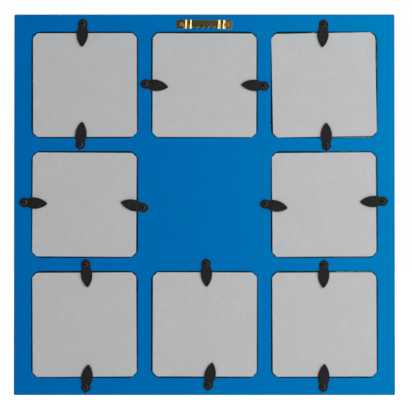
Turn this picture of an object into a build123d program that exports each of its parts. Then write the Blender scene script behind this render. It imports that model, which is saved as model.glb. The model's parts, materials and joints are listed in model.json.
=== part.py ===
from build123d import *
import math
import os

# A square collage photo frame for the wall, built round one thick routed panel.
# The panel's blank middle cell has eight picture openings round it. Each opening
# holds, from front to back, a glass pane, a blank paper insert and a backing
# board, and two turn buttons on screws keep them in. A sawtooth hanger is nailed
# to the middle of the top border.
#
# The part stands upright with +Z up. Its front faces -Y and its back +Y. The
# origin is the apex of the hanger's middle notch, where the wall nail bears, half
# way through the hanger's sheet. All sizes are millimetres.

# Panel
opening_size = 106.5
bar_width = 13.0
margin_width = 17.25
panel_thickness = 15.0
panel_corner_radius = 1.5
back_edge_round = 0.8
front_edge_bevel = 1.2
cutter_radius = 9.5
lip_width = 5.0

# Stack in each opening
pane_thickness = 2.0
insert_thickness = 0.3
board_thickness = 3.0
layer_gap = 0.05
board_drop = 0.25
pane_play = 0.6
insert_play = 3.4
board_play = 1.2
pane_corner_cut_share = 0.7
board_corner_cut_share = 0.47
board_corner_easing = 0.7

# Turn button
button_gauge = 0.8
button_clearance = 0.05
ring_radius = 4.75
ring_front_turn = 79.0
nib_reach = 5.7
nib_half_width = 1.25
neck_reach = 2.7
neck_half_width = 4.35
shoulder_reach = 8.2
leaf_half_width = 5.6
leaf_reach = 22.85
leaf_lift = 0.45
dimple_setback = 4.2
dimple_radius = 1.2
dimple_depth = 0.45
dimple_bevel_share = 0.9
dimple_sides = 8

# Turn button screw
screw_shank_radius = 1.45
screw_bore_clearance = 0.06
screw_head_radius = 2.9
screw_head_height = 1.7
screw_head_bevel = 0.9
screw_length = 10.0
screw_tip_length = 1.8
screw_recess_turn = 37.0
screw_recess_length = 3.0
screw_recess_width = 0.8
screw_recess_depth = 1.3

# Sawtooth hanger
hanger_length = 55.1
hanger_gauge = 0.7
hanger_standoff = 1.6
hanger_rise = 6.5
hanger_top_inset = 5.6
hanger_bend_radius = 0.9
largest_bend_share = 0.95
hanger_tilt = -0.5
pad_length = 7.3
rib_pitch = 5.0
rib_pad_foot = 1.1
rib_plate_foot = 0.92
rib_height = 2.97
valley_rise = 0.95
valley_width_share = 0.48
tooth_count = 4
tooth_depth = 2.6
tooth_tip_flat = 0.5
end_flank_share = 0.426

# Hanger nail
nail_inset_share = 0.603
nail_shank_radius = 0.8
nail_head_radius = 2.3
nail_head_height = 1.0
nail_head_bevel = 0.6
nail_length = 10.0
nail_tip_length = 1.6

# Fasteners and their bores are few-sided: there are many, and most of each is hidden
shank_sides = 6
bore_sides = 10
head_sides = 12
point_bevel_share = 0.8

# Fits and cuts
pilot_clearance = 0.02
pilot_extra_depth = 0.5
overrun = 1.0

os.makedirs("parts", exist_ok=True)

# Layout
# Everything is laid out as seen from behind: right, up, and out towards the viewer.
pitch = opening_size + bar_width
half_opening = opening_size / 2
panel_side = 3 * opening_size + 2 * bar_width + 2 * margin_width
panel_top = hanger_rise + hanger_top_inset
panel_middle = panel_top - panel_side / 2
panel_back = -(hanger_standoff + hanger_gauge / 2)
back_view = Plane(origin=(0, panel_back, 0), x_dir=(-1, 0, 0), z_dir=(0, 1, 0))


def seat(right, up, out=0.0, turn=0.0):
    """A plane that faces out of the back, turned anticlockwise as seen from behind."""
    return Plane(back_view.location * Location((right, up, out), (0, 0, turn)))


opening_centres = {
    "upper_left": (-pitch, panel_middle + pitch),
    "upper_centre": (0, panel_middle + pitch),
    "upper_right": (pitch, panel_middle + pitch),
    "middle_left": (-pitch, panel_middle),
    "middle_right": (pitch, panel_middle),
    "lower_left": (-pitch, panel_middle - pitch),
    "lower_centre": (0, panel_middle - pitch),
    "lower_right": (pitch, panel_middle - pitch),
}

# How each board lies in its opening: the shares of its play that it has slid right
# and up, and the share of the turn that its play allows, anticlockwise.
board_rest_shares = {
    "upper_left": (0.16, -0.13, 0.09),
    "upper_centre": (0.08, -0.32, -0.13),
    "upper_right": (0.03, -0.03, 0.79),
    "middle_left": (-0.17, -0.13, -0.21),
    "middle_right": (-0.03, -0.13, 0.32),
    "lower_left": (-0.02, -0.28, 0.23),
    "lower_centre": (0.34, -0.08, -0.12),
    "lower_right": (0.20, -0.16, 0.18),
}

# Where each turn button is screwed on and how it has been left: its opening, the side
# of the opening, its place along that side as a share of the opening, its distance
# from the opening as a share of the border there, and its swing in degrees from
# square to the side, anticlockwise.
button_places = [
    ("upper_left", "top", -0.017, 0.437, -2.6),
    ("upper_left", "bottom", -0.041, 0.498, -4.5),
    ("upper_centre", "left", 0.008, 0.432, -7.9),
    ("upper_centre", "right", -0.012, 0.487, -3.8),
    ("upper_right", "top", -0.005, 0.407, -2.7),
    ("upper_right", "bottom", 0.021, 0.579, 0.3),
    ("middle_left", "left", 0.018, 0.394, -3.1),
    ("middle_left", "right", -0.030, 0.406, -13.7),
    ("middle_right", "left", 0.004, 0.438, -10.6),
    ("middle_right", "right", 0.029, 0.311, 1.3),
    ("lower_left", "top", 0.012, 0.492, 4.8),
    ("lower_left", "bottom", 0.014, 0.543, -6.5),
    ("lower_centre", "top", 0.016, 0.548, 2.0),
    ("lower_centre", "bottom", 0.036, 0.421, -10.2),
    ("lower_right", "top", -0.003, 0.449, -1.2),
    ("lower_right", "bottom", -0.011, 0.523, -3.2),
]

# Each side of an opening: the step right and up to it, the direction in which a button
# there points into the opening, and whether it is a top or bottom side.
sides = {
    "top": (0, 1, 270),
    "bottom": (0, -1, 90),
    "left": (-1, 0, 0),
    "right": (1, 0, 180),
}


def border_beyond(opening, side):
    """The width of panel between an opening's side and the next opening or the edge."""
    row, column = opening.split("_")
    outermost = {"upper": "top", "lower": "bottom", "left": "left", "right": "right"}
    at_edge = side in (outermost.get(row), outermost.get(column))
    return margin_width if at_edge else bar_width


def button_seat(opening, side, along_share, inset_share, swing):
    """Where a turn button's screw goes, and the way the button points."""
    step_right, step_up, pointing = sides[side]
    centre_right, centre_up = opening_centres[opening]
    reach = half_opening + inset_share * border_beyond(opening, side)
    along = along_share * opening_size
    right = centre_right + step_right * reach + abs(step_up) * along
    up = centre_up + step_up * reach + abs(step_right) * along
    return right, up, pointing + swing


button_seats = {
    f"turn_button_{opening}_{side}": button_seat(opening, side, along, inset, swing)
    for opening, side, along, inset, swing in button_places
}
screw_seats = [
    seat(right, up, 0, index * screw_recess_turn)
    for index, (right, up, turn) in enumerate(button_seats.values())
]

# Depths below the back face
rabbet_depth = (
    board_drop + board_thickness + insert_thickness + pane_thickness + 3 * layer_gap
)
pane_floor = -rabbet_depth + layer_gap
insert_floor = pane_floor + pane_thickness + layer_gap
board_floor = insert_floor + insert_thickness + layer_gap
pane_corner_cut = pane_corner_cut_share * cutter_radius
board_corner_cut = board_corner_cut_share * cutter_radius

# Hanger nail places, along and up in the hanger's own frame, and on the panel
nail_reach = hanger_length / 2 - nail_inset_share * pad_length
nail_up = (hanger_rise - tooth_depth) / 2
nail_places = [(-nail_reach, nail_up), (nail_reach, nail_up)]
hanger_seat = seat(0, 0, 0, hanger_tilt)
nail_seats = [Plane(hanger_seat.location * Location(place)) for place in nail_places]
screw_pilot_radius = screw_shank_radius + pilot_clearance
nail_pilot_radius = nail_shank_radius + pilot_clearance

# Frame panel: one routed board with a rabbet behind each window
window_size = opening_size - 2 * lip_width

with BuildPart() as frame_panel:
    with BuildSketch(back_view.offset(-panel_thickness)):
        with Locations((0, panel_middle)):
            RectangleRounded(panel_side, panel_side, panel_corner_radius)
    extrude(amount=panel_thickness)
    back_face = faces().sort_by(Axis.Y)[-1]
    fillet(back_face.edges(), back_edge_round)
    with BuildSketch(back_view):
        with Locations(*opening_centres.values()):
            RectangleRounded(opening_size, opening_size, cutter_radius)
    extrude(amount=-rabbet_depth, mode=Mode.SUBTRACT)
    with BuildSketch(back_view):
        with Locations(*opening_centres.values()):
            Rectangle(window_size, window_size)
    extrude(amount=-panel_thickness - overrun, mode=Mode.SUBTRACT)
    front_face = faces().sort_by(Axis.Y)[0]
    chamfer(front_face.edges(), front_edge_bevel)
    with BuildSketch(*screw_seats):
        RegularPolygon(screw_pilot_radius, shank_sides)
    extrude(amount=-screw_length - pilot_extra_depth, mode=Mode.SUBTRACT)
    with BuildSketch(*nail_seats):
        RegularPolygon(nail_pilot_radius, shank_sides)
    extrude(amount=-nail_length - pilot_extra_depth, mode=Mode.SUBTRACT)
frame_panel.part.label = "frame_panel"
export_step(frame_panel.part, "parts/frame_panel.step")


def make_pane(opening):
    """A clear pane on the rabbet's floor, its corners cut to clear the round ones."""
    pane_size = opening_size - 2 * pane_play
    with BuildPart() as pane:
        with BuildSketch(seat(*opening_centres[opening], pane_floor)):
            Rectangle(pane_size, pane_size)
            chamfer(vertices(), pane_corner_cut)
        extrude(amount=pane_thickness)
    return pane.part


def make_insert(opening):
    """A blank paper sheet of the picture's size, behind the pane."""
    insert_size = opening_size - 2 * insert_play
    with BuildPart() as insert:
        with BuildSketch(seat(*opening_centres[opening], insert_floor)):
            Rectangle(insert_size, insert_size)
        extrude(amount=insert_thickness)
    return insert.part


def make_board(opening):
    """A backing board, lying a little off centre and askew in its opening.

    Its corners are cut straight to clear the rabbet's round ones, and the cuts' ends eased.
    """
    board_size = opening_size - 2 * board_play
    most_turn = math.degrees(math.atan2(2 * board_play, board_size))
    right_share, up_share, turn_share = board_rest_shares[opening]
    centre_right, centre_up = opening_centres[opening]
    right = centre_right + right_share * board_play
    up = centre_up + up_share * board_play
    with BuildPart() as board:
        with BuildSketch(seat(right, up, board_floor, turn_share * most_turn)):
            Rectangle(board_size, board_size)
            chamfer(vertices(), board_corner_cut)
            chamfer(vertices(), board_corner_easing)
        extrude(amount=board_thickness)
    return board.part


for opening in opening_centres:
    for name, piece in (
        (f"glass_pane_{opening}", make_pane(opening)),
        (f"photo_insert_{opening}", make_insert(opening)),
        (f"backing_board_{opening}", make_board(opening)),
    ):
        piece.label = name
        export_step(piece, f"parts/{name}.step")

# Turn button: a pressed leaf that lies face up, its pivot at the origin, its tip on +X.
# Half of its outline runs from the nib along the ring, in at the neck and out round
# the leaf. Each pair gives a point's shares of the way along and of the width there.
neck_end_shares = (0.36, 0.31)
swell_shares = (0.64, 0.82)
leaf_side_shares = (0.58, 0.78)
leaf_end_shares = (0.9625, 0.17)
crank_shares = (0.3, 0.8)

nib_turn = 180 - math.degrees(math.asin(nib_half_width / ring_radius))
ring_front = (
    ring_radius * math.cos(math.radians(ring_front_turn)),
    ring_radius * math.sin(math.radians(ring_front_turn)),
)
nib_root = (ring_radius * math.cos(math.radians(nib_turn)), nib_half_width)
widening_length = shoulder_reach - neck_reach
widening = leaf_half_width - neck_half_width
leaf_length = leaf_reach - shoulder_reach
neck_end = (
    neck_reach + neck_end_shares[0] * widening_length,
    neck_half_width + neck_end_shares[1] * widening,
)
swell = (
    neck_reach + swell_shares[0] * widening_length,
    neck_half_width + swell_shares[1] * widening,
)
shoulder = (shoulder_reach, leaf_half_width)
leaf_side = (
    shoulder_reach + leaf_side_shares[0] * leaf_length,
    leaf_side_shares[1] * leaf_half_width,
)
leaf_end = (
    shoulder_reach + leaf_end_shares[0] * leaf_length,
    leaf_end_shares[1] * leaf_half_width,
)
crank_start = neck_reach + crank_shares[0] * widening_length
crank_end = neck_reach + crank_shares[1] * widening_length
leaf_top = button_gauge + leaf_lift
rear_end = -nib_reach - overrun
front_end = leaf_reach + overrun
dimple_reach = leaf_reach - dimple_setback
dimple_bevel = dimple_bevel_share * dimple_depth
screw_bore_radius = screw_shank_radius + screw_bore_clearance

with BuildPart() as turn_button:
    with BuildSketch():
        with BuildLine():
            Line((-nib_reach, 0), nib_root)
            CenterArc((0, 0), ring_radius, ring_front_turn, nib_turn - ring_front_turn)
            ThreePointArc(ring_front, (neck_reach, neck_half_width), neck_end)
            ThreePointArc(neck_end, swell, shoulder)
            ThreePointArc(shoulder, leaf_side, leaf_end)
            Line(leaf_end, (leaf_reach, 0))
            mirror(about=Plane.XZ)
        make_face()
    extrude(amount=leaf_top)
    with BuildSketch(Plane.XZ):
        with BuildLine():
            Polyline(
                (rear_end, 0),
                (crank_start, 0),
                (crank_end, leaf_lift),
                (front_end, leaf_lift),
                (front_end, leaf_top),
                (crank_end, leaf_top),
                (crank_start, button_gauge),
                (rear_end, button_gauge),
                close=True,
            )
        make_face()
    extrude(amount=leaf_half_width + overrun, both=True, mode=Mode.INTERSECT)
    with BuildSketch(Plane.XY.offset(leaf_top)):
        with Locations((dimple_reach, 0)):
            RegularPolygon(dimple_radius, dimple_sides)
    extrude(amount=-dimple_depth, mode=Mode.SUBTRACT)
    dimple_floor = faces(Select.LAST).sort_by(Axis.Z)[0]
    chamfer(dimple_floor.edges(), dimple_bevel)
    with BuildSketch():
        RegularPolygon(screw_bore_radius, bore_sides, major_radius=False)
    extrude(amount=leaf_top, mode=Mode.SUBTRACT)

for name, (right, up, turn) in button_seats.items():
    with BuildPart(seat(right, up, button_clearance, turn)) as seated_button:
        add(turn_button.part)
    seated_button.part.label = name
    export_step(seated_button.part, f"parts/{name}.step")


def make_pin(seat_height, shank_radius, length, tip_length, head_radius, head_height, bevel):
    """A few-sided headed pin on +Z, the underside of its head at the seat height."""
    with BuildPart() as pin:
        with BuildSketch(Plane.XY.offset(seat_height)):
            RegularPolygon(shank_radius, shank_sides)
        extrude(amount=-seat_height - length)
        point = faces().sort_by(Axis.Z)[0]
        chamfer(point.edges(), point_bevel_share * shank_radius, tip_length, reference=point)
        with BuildSketch(Plane.XY.offset(seat_height)):
            RegularPolygon(head_radius, head_sides)
        extrude(amount=head_height)
        chamfer(faces().sort_by(Axis.Z)[-1].edges(), bevel)
    return pin.part


# Turn button screw: a pan head with a cross recess, its shank down a pilot hole
screw_seat_height = button_gauge + 2 * button_clearance

with BuildPart() as turn_button_screw:
    add(
        make_pin(
            screw_seat_height,
            screw_shank_radius,
            screw_length,
            screw_tip_length,
            screw_head_radius,
            screw_head_height,
            screw_head_bevel,
        )
    )
    with BuildSketch(Plane.XY.offset(screw_seat_height + screw_head_height)):
        Rectangle(screw_recess_length, screw_recess_width)
        Rectangle(screw_recess_width, screw_recess_length)
    extrude(amount=-screw_recess_depth, mode=Mode.SUBTRACT)
with BuildPart(*screw_seats) as turn_button_screws:
    add(turn_button_screw.part)
turn_button_screws.part.label = "turn_button_screws"
export_step(turn_button_screws.part, "parts/turn_button_screws.step")



def largest_bend(points):
    """The largest radius that fits all of a line's corners between its straight runs."""
    steps = list(zip(points, points[1:]))
    runs = [math.dist(start, end) for start, end in steps]
    slopes = [math.atan2(end[1] - start[1], end[0] - start[0]) for start, end in steps]
    turns = [after - before for before, after in zip(slopes, slopes[1:])]
    setbacks = [0, *(abs(math.tan(turn / 2)) for turn in turns), 0]
    return min(run / (near + far) for run, near, far in zip(runs, setbacks, setbacks[1:]))


# Sawtooth hanger: a strip of sheet pressed into two flat pads, a pair of ribs beside
# each, and a raised toothed plate between them
half_hanger = hanger_length / 2
pad_reach = half_hanger - pad_length
outer_rib_reach = pad_reach - rib_pad_foot
inner_rib_reach = outer_rib_reach - rib_pitch
plate_reach = inner_rib_reach - rib_plate_foot
valley_reach = (outer_rib_reach + inner_rib_reach) / 2
valley_half_width = valley_width_share * rib_pitch / 2
half_gauge = hanger_gauge / 2
half_section = [
    (plate_reach, hanger_standoff + half_gauge),
    (inner_rib_reach, rib_height - half_gauge),
    (valley_reach - valley_half_width, valley_rise + half_gauge),
    (valley_reach + valley_half_width, valley_rise + half_gauge),
    (outer_rib_reach, rib_height - half_gauge),
    (pad_reach, half_gauge),
    (half_hanger, half_gauge),
]
section = [(-reach, height) for reach, height in reversed(half_section)] + half_section
bend_radius = min(hanger_bend_radius, largest_bend_share * largest_bend(section))
tooth_pitch = 2 * plate_reach / (tooth_count + 2 * end_flank_share)
outer_notch = tooth_count / 2 * tooth_pitch
flank_run = (tooth_pitch - tooth_tip_flat) / 2
end_flank_run = end_flank_share * tooth_pitch

with BuildPart() as hanger_strip:
    with BuildSketch(Plane.XZ.offset(tooth_depth)):
        with BuildLine() as section_line:
            FilletPolyline(*section, radius=bend_radius)
        trace(section_line.line, hanger_gauge)
    extrude(amount=-hanger_rise - tooth_depth)
    for index in range(tooth_count + 1):
        notch = index * tooth_pitch - outer_notch
        left_run = end_flank_run if index == 0 else flank_run
        right_run = end_flank_run if index == tooth_count else flank_run
        with BuildSketch():
            with BuildLine():
                Polyline(
                    (notch, 0),
                    (notch + right_run, -tooth_depth),
                    (notch + right_run, -tooth_depth - overrun),
                    (notch - left_run, -tooth_depth - overrun),
                    (notch - left_run, -tooth_depth),
                    close=True,
                )
            make_face()
        extrude(amount=rib_height, mode=Mode.SUBTRACT)
    with BuildSketch():
        with Locations(*nail_places):
            RegularPolygon(nail_pilot_radius, shank_sides)
    extrude(amount=rib_height, mode=Mode.SUBTRACT)
with BuildPart(hanger_seat) as sawtooth_hanger:
    add(hanger_strip.part)
sawtooth_hanger.part.label = "sawtooth_hanger"
export_step(sawtooth_hanger.part, "parts/sawtooth_hanger.step")

# Hanger nail: a low head seated on the hanger's pad, over a pointed shank
hanger_nail = make_pin(
    hanger_gauge,
    nail_shank_radius,
    nail_length,
    nail_tip_length,
    nail_head_radius,
    nail_head_height,
    nail_head_bevel,
)
with BuildPart(*nail_seats) as hanger_nails:
    add(hanger_nail)
hanger_nails.part.label = "hanger_nails"
export_step(hanger_nails.part, "parts/hanger_nails.step")
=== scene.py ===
"""Looks for the square collage photo frame, seen from behind as in the photograph.

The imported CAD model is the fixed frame: +Z up, front -Y, back +Y, metres. The CAD
pieces keep their meshes and get materials and softened edges. The few-sided screws and
nails are replaced by round ones, the screws with their cross recess.
"""

import json
import math

import bmesh
import bpy
from mathutils import Matrix, Vector

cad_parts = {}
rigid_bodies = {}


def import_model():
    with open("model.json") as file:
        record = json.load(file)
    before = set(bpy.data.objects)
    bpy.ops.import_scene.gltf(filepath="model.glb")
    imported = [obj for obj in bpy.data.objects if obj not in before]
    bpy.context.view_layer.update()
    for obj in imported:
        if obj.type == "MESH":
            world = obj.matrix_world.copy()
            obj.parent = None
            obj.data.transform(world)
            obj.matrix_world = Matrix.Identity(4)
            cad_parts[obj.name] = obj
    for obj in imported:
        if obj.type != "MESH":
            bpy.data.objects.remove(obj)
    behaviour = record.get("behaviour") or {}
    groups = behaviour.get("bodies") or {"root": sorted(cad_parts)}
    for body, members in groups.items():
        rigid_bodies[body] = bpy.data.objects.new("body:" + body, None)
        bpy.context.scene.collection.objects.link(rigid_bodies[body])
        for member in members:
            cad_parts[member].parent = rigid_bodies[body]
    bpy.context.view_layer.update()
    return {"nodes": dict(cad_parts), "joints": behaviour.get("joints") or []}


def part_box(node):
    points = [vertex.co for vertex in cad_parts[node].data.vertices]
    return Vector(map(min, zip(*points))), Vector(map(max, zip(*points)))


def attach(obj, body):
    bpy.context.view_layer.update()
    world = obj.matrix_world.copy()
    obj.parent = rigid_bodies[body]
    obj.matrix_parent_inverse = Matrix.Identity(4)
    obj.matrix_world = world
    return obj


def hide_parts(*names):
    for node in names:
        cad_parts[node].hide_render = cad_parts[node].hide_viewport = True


MM = 0.001
WHITE = (1.0, 1.0, 1.0)

# Photograph
PICTURE_SIDE = 412
MM_PER_PIXEL = 0.9976
OBJECT_CENTRE_PIXEL = (204.4, 204.45)
CAMERA_DISTANCE = 2.0
CAMERA_BELOW_LEVEL = math.radians(1.03)
CAMERA_NEAR = 0.05
CAMERA_FAR = 100
SENSOR_WIDTH_MM = 36.0

# Stage
FLOOR_DROP = 0.3
FLOOR_REACH = 30.0
FLOOR_GLOW = 1.0
FLOOR_DARK = (0.9, 0.9, 0.9)
FLOOR_LIGHT = (0.92, 0.92, 0.92)
WORLD_LIGHT = 0.14
MIRRORED_LOW = 0.03
MIRRORED_HIGH = 0.5
CEILING_START = 0.3
CEILING_FULL = 0.9

# Lights: name, position, width and height, power in watts, colour
LIGHTS_AIM = (0, 0, -0.18)
LIGHTS = (
    ("key_behind", (-0.75, 1.02, 0.08), (1.4, 1.5), 17.85, (0.975, 0.98, 1.0)),
    ("fill_behind", (1.1, 1.1, -0.35), (1.1, 1.4), 2.7, (1.0, 0.97, 0.84)),
    ("key_front", (0.8, -1.3, 1.35), (1.4, 1.4), 29.0, WHITE),
    ("fill_front", (-1.4, -1.2, 0.1), (1.0, 1.2), 8.0, WHITE),
)

# Lacquer
LACQUER_DEEP = (0.0, 0.123, 0.432)
LACQUER_FRESH = (0.0, 0.129, 0.446)
LACQUER_FLECK = (0.0, 0.17, 0.48)
LACQUER_TINT = (0.0, 1.0, 0.5)
LACQUER_ROUGHNESS = (0.3, 0.35)

# Painted shade inside the rabbets, below the back face and in from the outer edges: the lacquer there is
# darkened nearly to black
RABBET_PAINTED_SHADE = (0.0, 0.003, 0.012)
RABBET_SHADE_START = 0.5 * MM
RABBET_SHADE_END = 5.9 * MM
RABBET_SHADE_INSET = 5.0 * MM

# Backing boards
PAPER_DARK = (0.44, 0.443, 0.445)
PAPER_LIGHT = (0.508, 0.515, 0.523)
PAPER_CLOUD = (0.46, 0.463, 0.468)
PAPER_FLECK = (0.33, 0.31, 0.28)
PAPER_ROUGHNESS = (0.78, 0.9)
ACROSS_STRETCH = (0.12, 1.0, 3.0)
ALONG_STRETCH = (3.0, 1.0, 0.12)
# Cut edges: brown fibre, darkened nearly to black as painted shade of the gaps round the boards
BOARD_CORE_AND_SHADE_DARK = (0.014, 0.009, 0.006)
BOARD_CORE_AND_SHADE_LIGHT = (0.045, 0.028, 0.018)
CORE_STRETCH = (1.0, 14.0, 1.0)

# Inserts and panes
INSERT_DARK = (0.8, 0.79, 0.76)
INSERT_LIGHT = (0.86, 0.85, 0.82)
INSERT_ROUGHNESS = (0.82, 0.92)
GLASS_TINT = (0.965, 0.985, 0.975)
GLASS_INDEX = 1.5

# Metals
BLACK_LEAF_COLOURS = ((0.0095, 0.0095, 0.01), (0.0125, 0.0125, 0.013))
BLACK_SCREW_COLOURS = ((0.0095, 0.0095, 0.0098), (0.014, 0.014, 0.0143))
# Painted shade in the screws' cross recesses
RECESS_PAINTED_SHADE = (0.0015, 0.0015, 0.0015)
BRASS_COLOURS = ((0.76, 0.64, 0.3), (0.42, 0.32, 0.13))
NAIL_COLOURS = ((0.29, 0.16, 0.048), (0.18, 0.1, 0.03))
STREAK_STRETCH = (1.0, 1.0, 18.0)

# Where nearly all of a noise's values lie
NOISE_SPAN = (0.3, 0.7)

# Turn button screw, as in the CAD model and finer
SCREW_SEAT_HEIGHT = 0.9 * MM
SCREW_SHANK_RADIUS = 1.45 * MM
SCREW_HEAD_RADIUS = 2.9 * MM
SCREW_HEAD_HEIGHT = 1.7 * MM
SCREW_HEAD_RIM = 0.45 * MM
SCREW_SHOWN_LENGTH = 3.0 * MM
SCREW_TURN_STEP = math.radians(37.0)

# The screw's cross recess
SCREW_RECESS_SPAN = 3.5 * MM
SCREW_RECESS_SLOT = 1.1 * MM
SCREW_RECESS_DEPTH = 1.3 * MM
SCREW_RECESS_SHADE_START = 0.45 * MM
RECESS_PLUG_RISE = 0.3 * MM
RECESS_TOP_SHARE = 1.06
RECESS_BOTTOM_SHARE = 0.7

# Hanger nail
NAIL_SEAT_HEIGHT = 0.7 * MM
NAIL_SHANK_RADIUS = 0.8 * MM
NAIL_HEAD_RADIUS = 2.3 * MM
NAIL_HEAD_HEIGHT = 1.0 * MM
NAIL_HEAD_RIM = 0.6 * MM
NAIL_SHOWN_LENGTH = 3.0 * MM

# Turned meshes
TURNED_SEGMENTS = 64
DOME_STEPS = 10
HEAD_UNDERCUT = 0.12 * MM
SHARP_ANGLE = math.radians(35)

# Softened edges
WELD_DISTANCE = 0.002 * MM
EDGE_ANGLE = math.radians(30)
EDGE_SEGMENTS = 2
PANEL_EDGE = 0.18 * MM
BOARD_EDGE = 0.4 * MM
LEAF_EDGE = 0.2 * MM
HANGER_EDGE = 0.3 * MM
GLASS_EDGE = 0.1 * MM
INSERT_EDGE = 0.002 * MM

for leftover in list(bpy.data.objects):
    bpy.data.objects.remove(leftover)

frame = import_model()
nodes = frame["nodes"]
scene = bpy.context.scene
panel_low, panel_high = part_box("frame_panel")
panel_back = panel_high.y


# Node helpers


def new_material(name):
    """A material with an empty node tree but for its output and a Principled shader."""
    material = bpy.data.materials.new(name)
    material.use_nodes = True
    tree = material.node_tree
    tree.nodes.clear()
    output = tree.nodes.new("ShaderNodeOutputMaterial")
    shader = tree.nodes.new("ShaderNodeBsdfPrincipled")
    tree.links.new(shader.outputs["BSDF"], output.inputs["Surface"])
    return material, tree, shader


def object_point(tree):
    """Coordinates in metres in the object's own frame, which ride with it."""
    return tree.nodes.new("ShaderNodeTexCoord").outputs["Object"]


def axes(tree, vector):
    """The X, Y and Z of a point or a direction."""
    parts = tree.nodes.new("ShaderNodeSeparateXYZ")
    tree.links.new(vector, parts.inputs["Vector"])
    return parts.outputs["X"], parts.outputs["Y"], parts.outputs["Z"]


def stretched(tree, point, scale):
    """A point scaled along each axis, for streaks and fibres."""
    mapping = tree.nodes.new("ShaderNodeMapping")
    mapping.inputs["Scale"].default_value = scale
    tree.links.new(point, mapping.inputs["Vector"])
    return mapping.outputs["Vector"]


def noise(tree, point, scale, detail=3.0, roughness=0.55):
    """Noise from 0 to 1, its scale in cells per metre."""
    node = tree.nodes.new("ShaderNodeTexNoise")
    node.inputs["Scale"].default_value = scale
    node.inputs["Detail"].default_value = detail
    node.inputs["Roughness"].default_value = roughness
    tree.links.new(point, node.inputs["Vector"])
    return node.outputs["Fac"]


def ramp(tree, value, low, high, out_low=0.0, out_high=1.0):
    """The value taken from one range to another, held at its ends."""
    node = tree.nodes.new("ShaderNodeMapRange")
    node.inputs["From Min"].default_value = low
    node.inputs["From Max"].default_value = high
    node.inputs["To Min"].default_value = out_low
    node.inputs["To Max"].default_value = out_high
    tree.links.new(value, node.inputs["Value"])
    return node.outputs["Result"]


def arithmetic(tree, operation, first, second=0.0):
    """A Math node on two values, either of which may be a number."""
    node = tree.nodes.new("ShaderNodeMath")
    node.operation = operation
    for socket, value in zip(node.inputs, (first, second)):
        if isinstance(value, (int, float)):
            socket.default_value = value
        else:
            tree.links.new(value, socket)
    return node.outputs["Value"]


def blend_colours(tree, factor, first, second):
    """A colour between two, each a colour or another node's output."""
    node = tree.nodes.new("ShaderNodeMix")
    node.data_type = "RGBA"
    tree.links.new(factor, node.inputs["Factor"])
    for socket, colour in ((node.inputs["A"], first), (node.inputs["B"], second)):
        if isinstance(colour, tuple):
            socket.default_value = (*colour, 1.0)
        else:
            tree.links.new(colour, socket)
    return node.outputs["Result"]


def bump(tree, height, distance, strength, under=None):
    """A bump of that distance in metres, laid over another where one is given."""
    node = tree.nodes.new("ShaderNodeBump")
    node.inputs["Distance"].default_value = distance
    node.inputs["Strength"].default_value = strength
    tree.links.new(height, node.inputs["Height"])
    if under is not None:
        tree.links.new(under, node.inputs["Normal"])
    return node.outputs["Normal"]


# Materials


def rabbet_shade_mask(tree, point):
    """1 on the rabbets' walls and floors, where shade is painted into the lacquer, 0 elsewhere."""
    x, y, z = axes(tree, point)
    mask = arithmetic(tree, "LESS_THAN", y, panel_back - RABBET_SHADE_START)
    spans = (
        (x, panel_low.x + RABBET_SHADE_INSET, panel_high.x - RABBET_SHADE_INSET),
        (z, panel_low.z + RABBET_SHADE_INSET, panel_high.z - RABBET_SHADE_INSET),
    )
    for value, start, stop in spans:
        above = arithmetic(tree, "GREATER_THAN", value, start)
        below = arithmetic(tree, "LESS_THAN", value, stop)
        mask = arithmetic(tree, "MULTIPLY", mask, arithmetic(tree, "MULTIPLY", above, below))
    shallow = arithmetic(tree, "GREATER_THAN", y, panel_back - RABBET_SHADE_END)
    return arithmetic(tree, "MULTIPLY", mask, shallow)


def lacquer_material():
    """Satin blue lacquer over fibreboard, with fine orange peel and slow changes of sheen."""
    material, tree, shader = new_material("blue_lacquer_look")
    point = object_point(tree)
    cloud = noise(tree, point, scale=40.0)
    speck = noise(tree, point, scale=1400.0, detail=2.0)
    peel = noise(tree, point, scale=620.0, detail=2.0, roughness=0.4)
    grain = noise(tree, point, scale=2600.0, detail=2.0, roughness=0.5)
    sheen = noise(tree, point, scale=26.0)
    colour = blend_colours(tree, ramp(tree, cloud, *NOISE_SPAN), LACQUER_DEEP, LACQUER_FRESH)
    fleck = ramp(tree, speck, low=0.72, high=0.8, out_high=0.08)
    colour = blend_colours(tree, fleck, colour, LACQUER_FLECK)
    # Painted shade: the lacquer in the rabbets is darkened nearly to black
    colour = blend_colours(tree, rabbet_shade_mask(tree, point), colour, RABBET_PAINTED_SHADE)
    tree.links.new(colour, shader.inputs["Base Color"])
    tree.links.new(ramp(tree, sheen, *NOISE_SPAN, *LACQUER_ROUGHNESS), shader.inputs["Roughness"])
    shader.inputs["Specular IOR Level"].default_value = 0.5
    shader.inputs["Specular Tint"].default_value = (*LACQUER_TINT, 1.0)
    normal = bump(tree, peel, distance=0.03 * MM, strength=0.4)
    normal = bump(tree, grain, distance=0.01 * MM, strength=0.2, under=normal)
    tree.links.new(normal, shader.inputs["Normal"])
    return material


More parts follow.
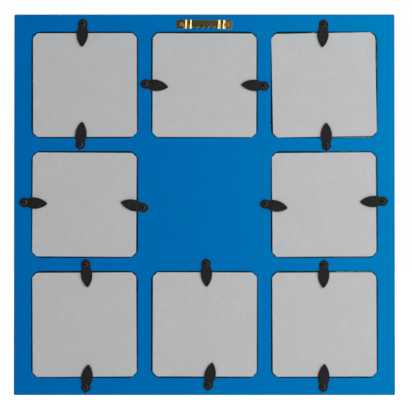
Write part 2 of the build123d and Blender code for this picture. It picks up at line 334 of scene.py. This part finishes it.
def board_material():
    """Grey paper-faced hardboard, its cut edges brown and fibrous, darkened nearly to black as painted
    shade of the gaps round the boards.
    """
    material, tree, shader = new_material("backing_board_look")
    point = object_point(tree)
    across = stretched(tree, point, ACROSS_STRETCH)
    along = stretched(tree, point, ALONG_STRETCH)
    fibre_across = noise(tree, across, scale=420.0, detail=4.0, roughness=0.65)
    fibre_along = noise(tree, along, scale=420.0, detail=4.0, roughness=0.65)
    mottle = noise(tree, point, scale=200.0, roughness=0.5)
    cloud = noise(tree, point, scale=45.0)
    speck = noise(tree, point, scale=900.0, detail=2.0)
    fibres = arithmetic(tree, "ADD", fibre_across, fibre_along)
    fibres = arithmetic(tree, "ADD", fibres, mottle)
    tone = ramp(tree, fibres, low=1.0, high=2.0)
    paper = blend_colours(tree, tone, PAPER_DARK, PAPER_LIGHT)
    clouding = ramp(tree, cloud, low=0.4, high=0.6, out_high=0.6)
    paper = blend_colours(tree, clouding, paper, PAPER_CLOUD)
    fleck = ramp(tree, speck, low=0.7, high=0.78, out_high=0.12)
    paper = blend_colours(tree, fleck, paper, PAPER_FLECK)
    core_fibre = noise(tree, stretched(tree, point, CORE_STRETCH), scale=600.0, detail=4.0)
    # Brown fibre of the cut edges, darkened as painted shade of the gaps round the boards
    core_and_gap_shade = blend_colours(tree, core_fibre, BOARD_CORE_AND_SHADE_DARK, BOARD_CORE_AND_SHADE_LIGHT)
    towards_back = axes(tree, tree.nodes.new("ShaderNodeTexCoord").outputs["Normal"])[1]
    # The edge colour reaches over the rounded rim, widening the line of painted shade round each board
    is_face = ramp(tree, arithmetic(tree, "ABSOLUTE", towards_back), low=0.84, high=0.97)
    tree.links.new(blend_colours(tree, is_face, core_and_gap_shade, paper), shader.inputs["Base Color"])
    tree.links.new(ramp(tree, mottle, *NOISE_SPAN, *PAPER_ROUGHNESS), shader.inputs["Roughness"])
    shader.inputs["Specular IOR Level"].default_value = 0.25
    tree.links.new(bump(tree, fibres, distance=0.05 * MM, strength=0.35), shader.inputs["Normal"])
    return material


def insert_material():
    """Blank uncoated paper, warm white, with a faint tooth."""
    material, tree, shader = new_material("insert_paper_look")
    point = object_point(tree)
    tooth = noise(tree, point, scale=1800.0)
    cloud = noise(tree, point, scale=30.0, detail=2.0)
    tree.links.new(blend_colours(tree, cloud, INSERT_DARK, INSERT_LIGHT), shader.inputs["Base Color"])
    tree.links.new(ramp(tree, tooth, *NOISE_SPAN, *INSERT_ROUGHNESS), shader.inputs["Roughness"])
    tree.links.new(bump(tree, tooth, distance=0.02 * MM, strength=0.5), shader.inputs["Normal"])
    return material


def glass_material():
    """Clear float glass with a trace of green, faintly smudged."""
    material, tree, shader = new_material("glass_look")
    smudge = noise(tree, object_point(tree), scale=40.0)
    shader.inputs["Base Color"].default_value = (*GLASS_TINT, 1.0)
    shader.inputs["Transmission Weight"].default_value = 1.0
    shader.inputs["IOR"].default_value = GLASS_INDEX
    tree.links.new(ramp(tree, smudge, low=0.55, high=0.8, out_high=0.05), shader.inputs["Roughness"])
    return material


def recess_shade_mask(tree, point):
    """1 in the cross recess of a screw's head, below its crown, where shade is painted; 0 elsewhere."""
    x, y, z = axes(tree, point)
    reach = arithmetic(tree, "ADD", arithmetic(tree, "MULTIPLY", x, x), arithmetic(tree, "MULTIPLY", y, y))
    near = arithmetic(tree, "LESS_THAN", reach, (SCREW_RECESS_SPAN / 2) ** 2)
    shade_top = SCREW_SEAT_HEIGHT + SCREW_HEAD_HEIGHT - SCREW_RECESS_SHADE_START
    return arithmetic(tree, "MULTIPLY", near, arithmetic(tree, "LESS_THAN", z, shade_top))


def black_steel_material(name, colours, roughness, gloss, recessed=False):
    """Black coated steel with a fine powder texture, and painted shade in a recess where one is cut in it.
    """
    material, tree, shader = new_material(name)
    point = object_point(tree)
    powder = noise(tree, point, scale=3200.0)
    cloud = noise(tree, point, scale=260.0)
    colour = blend_colours(tree, ramp(tree, cloud, *NOISE_SPAN), *colours)
    rough = ramp(tree, powder, *NOISE_SPAN, out_low=roughness - 0.06, out_high=roughness + 0.08)
    if recessed:
        # Painted shade: the recess is darkened nearly to black and made fully rough
        painted_recess_shade = recess_shade_mask(tree, point)
        colour = blend_colours(tree, painted_recess_shade, colour, RECESS_PAINTED_SHADE)
        rough = arithmetic(tree, "MAXIMUM", rough, painted_recess_shade)
    tree.links.new(colour, shader.inputs["Base Color"])
    tree.links.new(rough, shader.inputs["Roughness"])
    shader.inputs["Specular IOR Level"].default_value = gloss
    tree.links.new(bump(tree, powder, distance=0.015 * MM, strength=0.5), shader.inputs["Normal"])
    return material


def brass_material(name, colours, roughness):
    """Brass-plated steel: drawn streaks, a little tarnish in patches."""
    material, tree, shader = new_material(name)
    point = object_point(tree)
    streak = noise(tree, stretched(tree, point, STREAK_STRETCH), scale=500.0)
    patch = noise(tree, point, scale=320.0, detail=4.0, roughness=0.6)
    tarnish = ramp(tree, patch, low=0.45, high=0.75, out_high=0.8)
    tree.links.new(blend_colours(tree, tarnish, *colours), shader.inputs["Base Color"])
    streak_roughness = ramp(tree, streak, *NOISE_SPAN, out_low=-0.02, out_high=0.03)
    patch_roughness = ramp(tree, patch, low=0.5, high=0.75, out_high=0.03)
    rough = arithmetic(tree, "ADD", streak_roughness, roughness)
    rough = arithmetic(tree, "ADD", rough, patch_roughness)
    tree.links.new(rough, shader.inputs["Roughness"])
    shader.inputs["Metallic"].default_value = 1.0
    tree.links.new(bump(tree, streak, distance=0.004 * MM, strength=0.3), shader.inputs["Normal"])
    return material


lacquer = lacquer_material()
board_paper = board_material()
insert_paper = insert_material()
glass = glass_material()
black_steel = black_steel_material("black_steel_look", BLACK_LEAF_COLOURS, roughness=0.6, gloss=0.12)
black_screw = black_steel_material(
    "black_screw_look", BLACK_SCREW_COLOURS, roughness=0.36, gloss=0.32, recessed=True
)
brass = brass_material("brass_look", BRASS_COLOURS, roughness=0.13)
brass_nail = brass_material("brass_nail_look", NAIL_COLOURS, roughness=0.6)


# Carried-over CAD pieces


def soften(node, edge):
    """Rounds a CAD piece's edges by a modifier, over welded corners."""
    weld = node.modifiers.new("weld", "WELD")
    weld.merge_threshold = WELD_DISTANCE
    rounding = node.modifiers.new("edge rounding", "BEVEL")
    rounding.width = edge
    rounding.segments = EDGE_SEGMENTS
    rounding.limit_method = "ANGLE"
    rounding.angle_limit = EDGE_ANGLE
    rounding.use_clamp_overlap = True
    rounding.harden_normals = True


def dress(node, material, edge):
    """Gives a CAD piece its material and its softened edges."""
    node.data.materials.clear()
    node.data.materials.append(material)
    soften(node, edge)


for name, node in nodes.items():
    if name.startswith("backing_board"):
        dress(node, board_paper, BOARD_EDGE)
    elif name.startswith("glass_pane"):
        dress(node, glass, GLASS_EDGE)
    elif name.startswith("photo_insert"):
        dress(node, insert_paper, INSERT_EDGE)
    elif name.startswith("turn_button") and name != "turn_button_screws":
        dress(node, black_steel, LEAF_EDGE)
dress(nodes["frame_panel"], lacquer, PANEL_EDGE)
dress(nodes["sawtooth_hanger"], brass, HANGER_EDGE)


# Turned fasteners


def lathe(name, profile):
    """A closed turned mesh about Z from (radius, height) points, top to bottom."""
    mesh = bpy.data.meshes.new(name)
    body = bmesh.new()
    rings = []
    for radius, height in profile:
        if radius == 0:
            rings.append([body.verts.new((0, 0, height))])
            continue
        ring = []
        for step in range(TURNED_SEGMENTS):
            angle = 2 * math.pi * step / TURNED_SEGMENTS
            ring.append(body.verts.new((radius * math.cos(angle), radius * math.sin(angle), height)))
        rings.append(ring)
    for upper, lower in zip(rings, rings[1:]):
        for step in range(TURNED_SEGMENTS):
            after = (step + 1) % TURNED_SEGMENTS
            corners = [upper[step % len(upper)], upper[after % len(upper)]]
            corners += [lower[after % len(lower)], lower[step % len(lower)]]
            body.faces.new(list(dict.fromkeys(corners)))
    bmesh.ops.recalc_face_normals(body, faces=body.faces)
    body.to_mesh(mesh)
    body.free()
    return mesh


def dome_profile(seat, head_radius, head_height, rim, shank_radius, shown_length):
    """Half outline of a domed head over a stub of its shank, from the crown down."""
    dome = head_height - rim
    ball = (head_radius**2 + dome**2) / (2 * dome)
    sweep = math.asin(head_radius / ball)
    crown = seat + head_height
    points = [(0, crown)]
    for step in range(1, DOME_STEPS + 1):
        angle = sweep * step / DOME_STEPS
        points.append((ball * math.sin(angle), crown - ball * (1 - math.cos(angle))))
    points.append((head_radius, seat + HEAD_UNDERCUT))
    points.append((head_radius - HEAD_UNDERCUT, seat))
    points.append((shank_radius, seat))
    points.append((shank_radius, seat - shown_length))
    points.append((0, seat - shown_length))
    return points


def recess_cutter(crown):
    """A cross-shaped plug that narrows downwards, to press the recess into a head."""
    mesh = bpy.data.meshes.new("recess")
    body = bmesh.new()
    levels = (
        (crown + RECESS_PLUG_RISE, RECESS_TOP_SHARE),
        (crown - SCREW_RECESS_DEPTH, RECESS_BOTTOM_SHARE),
    )
    rings = []
    for height, share in levels:
        reach = SCREW_RECESS_SPAN / 2 * share
        slot = SCREW_RECESS_SLOT / 2 * share
        corners = []
        for quarter in range(4):
            turn = Matrix.Rotation(quarter * math.pi / 2, 3, "Z")
            for x, y in ((reach, -slot), (reach, slot), (slot, slot)):
                corners.append(turn @ Vector((x, y, 0)))
        rings.append([body.verts.new((corner.x, corner.y, height)) for corner in corners])
    top, bottom = rings
    body.faces.new(top)
    body.faces.new(list(reversed(bottom)))
    for step in range(len(top)):
        after = (step + 1) % len(top)
        body.faces.new((top[step], bottom[step], bottom[after], top[after]))
    bmesh.ops.recalc_face_normals(body, faces=body.faces)
    body.to_mesh(mesh)
    body.free()
    return mesh


def carved(mesh, cutter_mesh):
    """The mesh with the cutter taken away, as a new mesh."""
    solid = bpy.data.objects.new("carving", mesh)
    cutter = bpy.data.objects.new("cutter", cutter_mesh)
    scene.collection.objects.link(solid)
    scene.collection.objects.link(cutter)
    cut = solid.modifiers.new("cut", "BOOLEAN")
    cut.operation = "DIFFERENCE"
    cut.solver = "EXACT"
    cut.object = cutter
    graph = bpy.context.evaluated_depsgraph_get()
    result = bpy.data.meshes.new_from_object(solid.evaluated_get(graph))
    bpy.data.objects.remove(solid)
    bpy.data.objects.remove(cutter)
    return result


def finish_shading(mesh):
    """Smooth shading, but for the sharp edges."""
    mesh.shade_smooth()
    mesh.set_sharp_from_angle(angle=SHARP_ANGLE)


def place(name, mesh, material, centre, turn, node_name):
    """A fastener standing out of the panel's back at a point, riding on the frame."""
    piece = bpy.data.objects.new(name, mesh)
    scene.collection.objects.link(piece)
    if not mesh.materials:
        mesh.materials.append(material)
    facing = Matrix.Rotation(-math.pi / 2, 4, "X") @ Matrix.Rotation(turn, 4, "Z")
    piece.matrix_world = Matrix.Translation(centre) @ facing
    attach(piece, "frame")
    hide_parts(node_name)


screw_profile = dome_profile(
    seat=SCREW_SEAT_HEIGHT,
    head_radius=SCREW_HEAD_RADIUS,
    head_height=SCREW_HEAD_HEIGHT,
    rim=SCREW_HEAD_RIM,
    shank_radius=SCREW_SHANK_RADIUS,
    shown_length=SCREW_SHOWN_LENGTH,
)
screw_mesh = carved(
    lathe("screw_blank", screw_profile),
    recess_cutter(SCREW_SEAT_HEIGHT + SCREW_HEAD_HEIGHT),
)
screw_mesh.name = "turn_button_screw_mesh"
finish_shading(screw_mesh)

for index, joint in enumerate(frame["joints"]):
    x, y, z = joint["pos_m"]
    screw_name = "screw_" + joint["child"].replace("turn_button_", "")
    place(
        screw_name,
        screw_mesh,
        black_screw,
        (x, panel_back, z),
        index * SCREW_TURN_STEP,
        "turn_button_screws",
    )

nail_profile = dome_profile(
    seat=NAIL_SEAT_HEIGHT,
    head_radius=NAIL_HEAD_RADIUS,
    head_height=NAIL_HEAD_HEIGHT,
    rim=NAIL_HEAD_RIM,
    shank_radius=NAIL_SHANK_RADIUS,
    shown_length=NAIL_SHOWN_LENGTH,
)
nail_mesh = lathe("hanger_nail_mesh", nail_profile)
finish_shading(nail_mesh)

nails_low, nails_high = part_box("hanger_nails")
nail_places = (
    ("left", nails_high.x - NAIL_HEAD_RADIUS, nails_high.z - NAIL_HEAD_RADIUS),
    ("right", nails_low.x + NAIL_HEAD_RADIUS, nails_low.z + NAIL_HEAD_RADIUS),
)
for side, x, z in nail_places:
    place("hanger_nail_" + side, nail_mesh, brass_nail, (x, panel_back, z), 0, "hanger_nails")


# Stage


def add_floor():
    """A wide pale floor below the hanging frame."""
    mesh = bpy.data.meshes.new("floor")
    body = bmesh.new()
    bmesh.ops.create_grid(body, x_segments=1, y_segments=1, size=FLOOR_REACH)
    body.to_mesh(mesh)
    body.free()
    floor = bpy.data.objects.new("floor", mesh)
    scene.collection.objects.link(floor)
    floor.location = (0, 0, panel_low.z - FLOOR_DROP)
    material, tree, shader = new_material("floor_look")
    tone = noise(tree, object_point(tree), scale=3.0, detail=2.0)
    tree.links.new(blend_colours(tree, tone, FLOOR_DARK, FLOOR_LIGHT), shader.inputs["Base Color"])
    shader.inputs["Roughness"].default_value = 0.9
    shader.inputs["Specular IOR Level"].default_value = 0.0
    shader.inputs["Emission Color"].default_value = (*WHITE, 1.0)
    seen = tree.nodes.new("ShaderNodeLightPath").outputs["Is Camera Ray"]
    glow = arithmetic(tree, "MULTIPLY", seen, FLOOR_GLOW)
    tree.links.new(glow, shader.inputs["Emission Strength"])
    mesh.materials.append(material)


def add_light(name, position, size, power, colour):
    """A soft rectangular light aimed at the frame's middle."""
    light = bpy.data.lights.new(name, "AREA")
    light.shape = "RECTANGLE"
    light.size, light.size_y = size
    light.energy = power
    light.color = colour
    lamp = bpy.data.objects.new(name, light)
    scene.collection.objects.link(lamp)
    lamp.location = position
    lamp.rotation_euler = (Vector(LIGHTS_AIM) - Vector(position)).to_track_quat("-Z", "Y").to_euler()


def background(tree, colour):
    """A Background node of one colour."""
    node = tree.nodes.new("ShaderNodeBackground")
    node.inputs["Color"].default_value = (*colour, 1.0)
    return node


def either(tree, factor, shader_off, shader_on):
    """One shader where the factor is 0 and another where it is 1."""
    node = tree.nodes.new("ShaderNodeMixShader")
    for socket, value in zip(node.inputs, (factor, shader_off, shader_on)):
        tree.links.new(value, socket)
    return node.outputs["Shader"]


def add_world():
    """White to the eye, dimmer as a light, and in reflections dark but for the ceiling."""
    world = bpy.data.worlds.new("studio")
    scene.world = world
    world.use_nodes = True
    tree = world.node_tree
    tree.nodes.clear()
    output = tree.nodes.new("ShaderNodeOutputWorld")
    path = tree.nodes.new("ShaderNodeLightPath")
    seen = background(tree, WHITE)
    lighting = background(tree, (WORLD_LIGHT, WORLD_LIGHT, WORLD_LIGHT))
    mirrored = background(tree, WHITE)
    upwards = axes(tree, tree.nodes.new("ShaderNodeTexCoord").outputs["Generated"])[2]
    overhead = ramp(tree, upwards, CEILING_START, CEILING_FULL, MIRRORED_LOW, MIRRORED_HIGH)
    tree.links.new(overhead, mirrored.inputs["Strength"])
    unseen = either(
        tree,
        path.outputs["Is Glossy Ray"],
        lighting.outputs["Background"],
        mirrored.outputs["Background"],
    )
    surface = either(tree, path.outputs["Is Camera Ray"], unseen, seen.outputs["Background"])
    tree.links.new(surface, output.inputs["Surface"])


def add_camera():
    """Square on to the back and a degree below level, framed as the photograph is."""
    middle = Vector(((panel_low.x + panel_high.x) / 2, panel_back, (panel_low.z + panel_high.z) / 2))
    half = PICTURE_SIDE / 2
    aside = (half - OBJECT_CENTRE_PIXEL[0]) * MM_PER_PIXEL * MM
    below = (half - OBJECT_CENTRE_PIXEL[1]) * MM_PER_PIXEL * MM
    target = middle + Vector((-aside, 0, -below))
    camera = bpy.data.cameras.new("camera")
    camera.sensor_width = SENSOR_WIDTH_MM
    seen_width = PICTURE_SIDE * MM_PER_PIXEL * MM
    camera.lens = SENSOR_WIDTH_MM * CAMERA_DISTANCE / seen_width
    camera.clip_start = CAMERA_NEAR
    camera.clip_end = CAMERA_FAR
    eye = bpy.data.objects.new("camera", camera)
    scene.collection.objects.link(eye)
    away = Vector((0, math.cos(CAMERA_BELOW_LEVEL), -math.sin(CAMERA_BELOW_LEVEL)))
    eye.location = target + CAMERA_DISTANCE * away
    eye.rotation_euler = (-away).to_track_quat("-Z", "Y").to_euler()
    scene.camera = eye


add_floor()
add_world()
for light_row in LIGHTS:
    add_light(*light_row)
add_camera()

scene.view_settings.view_transform = "Standard"
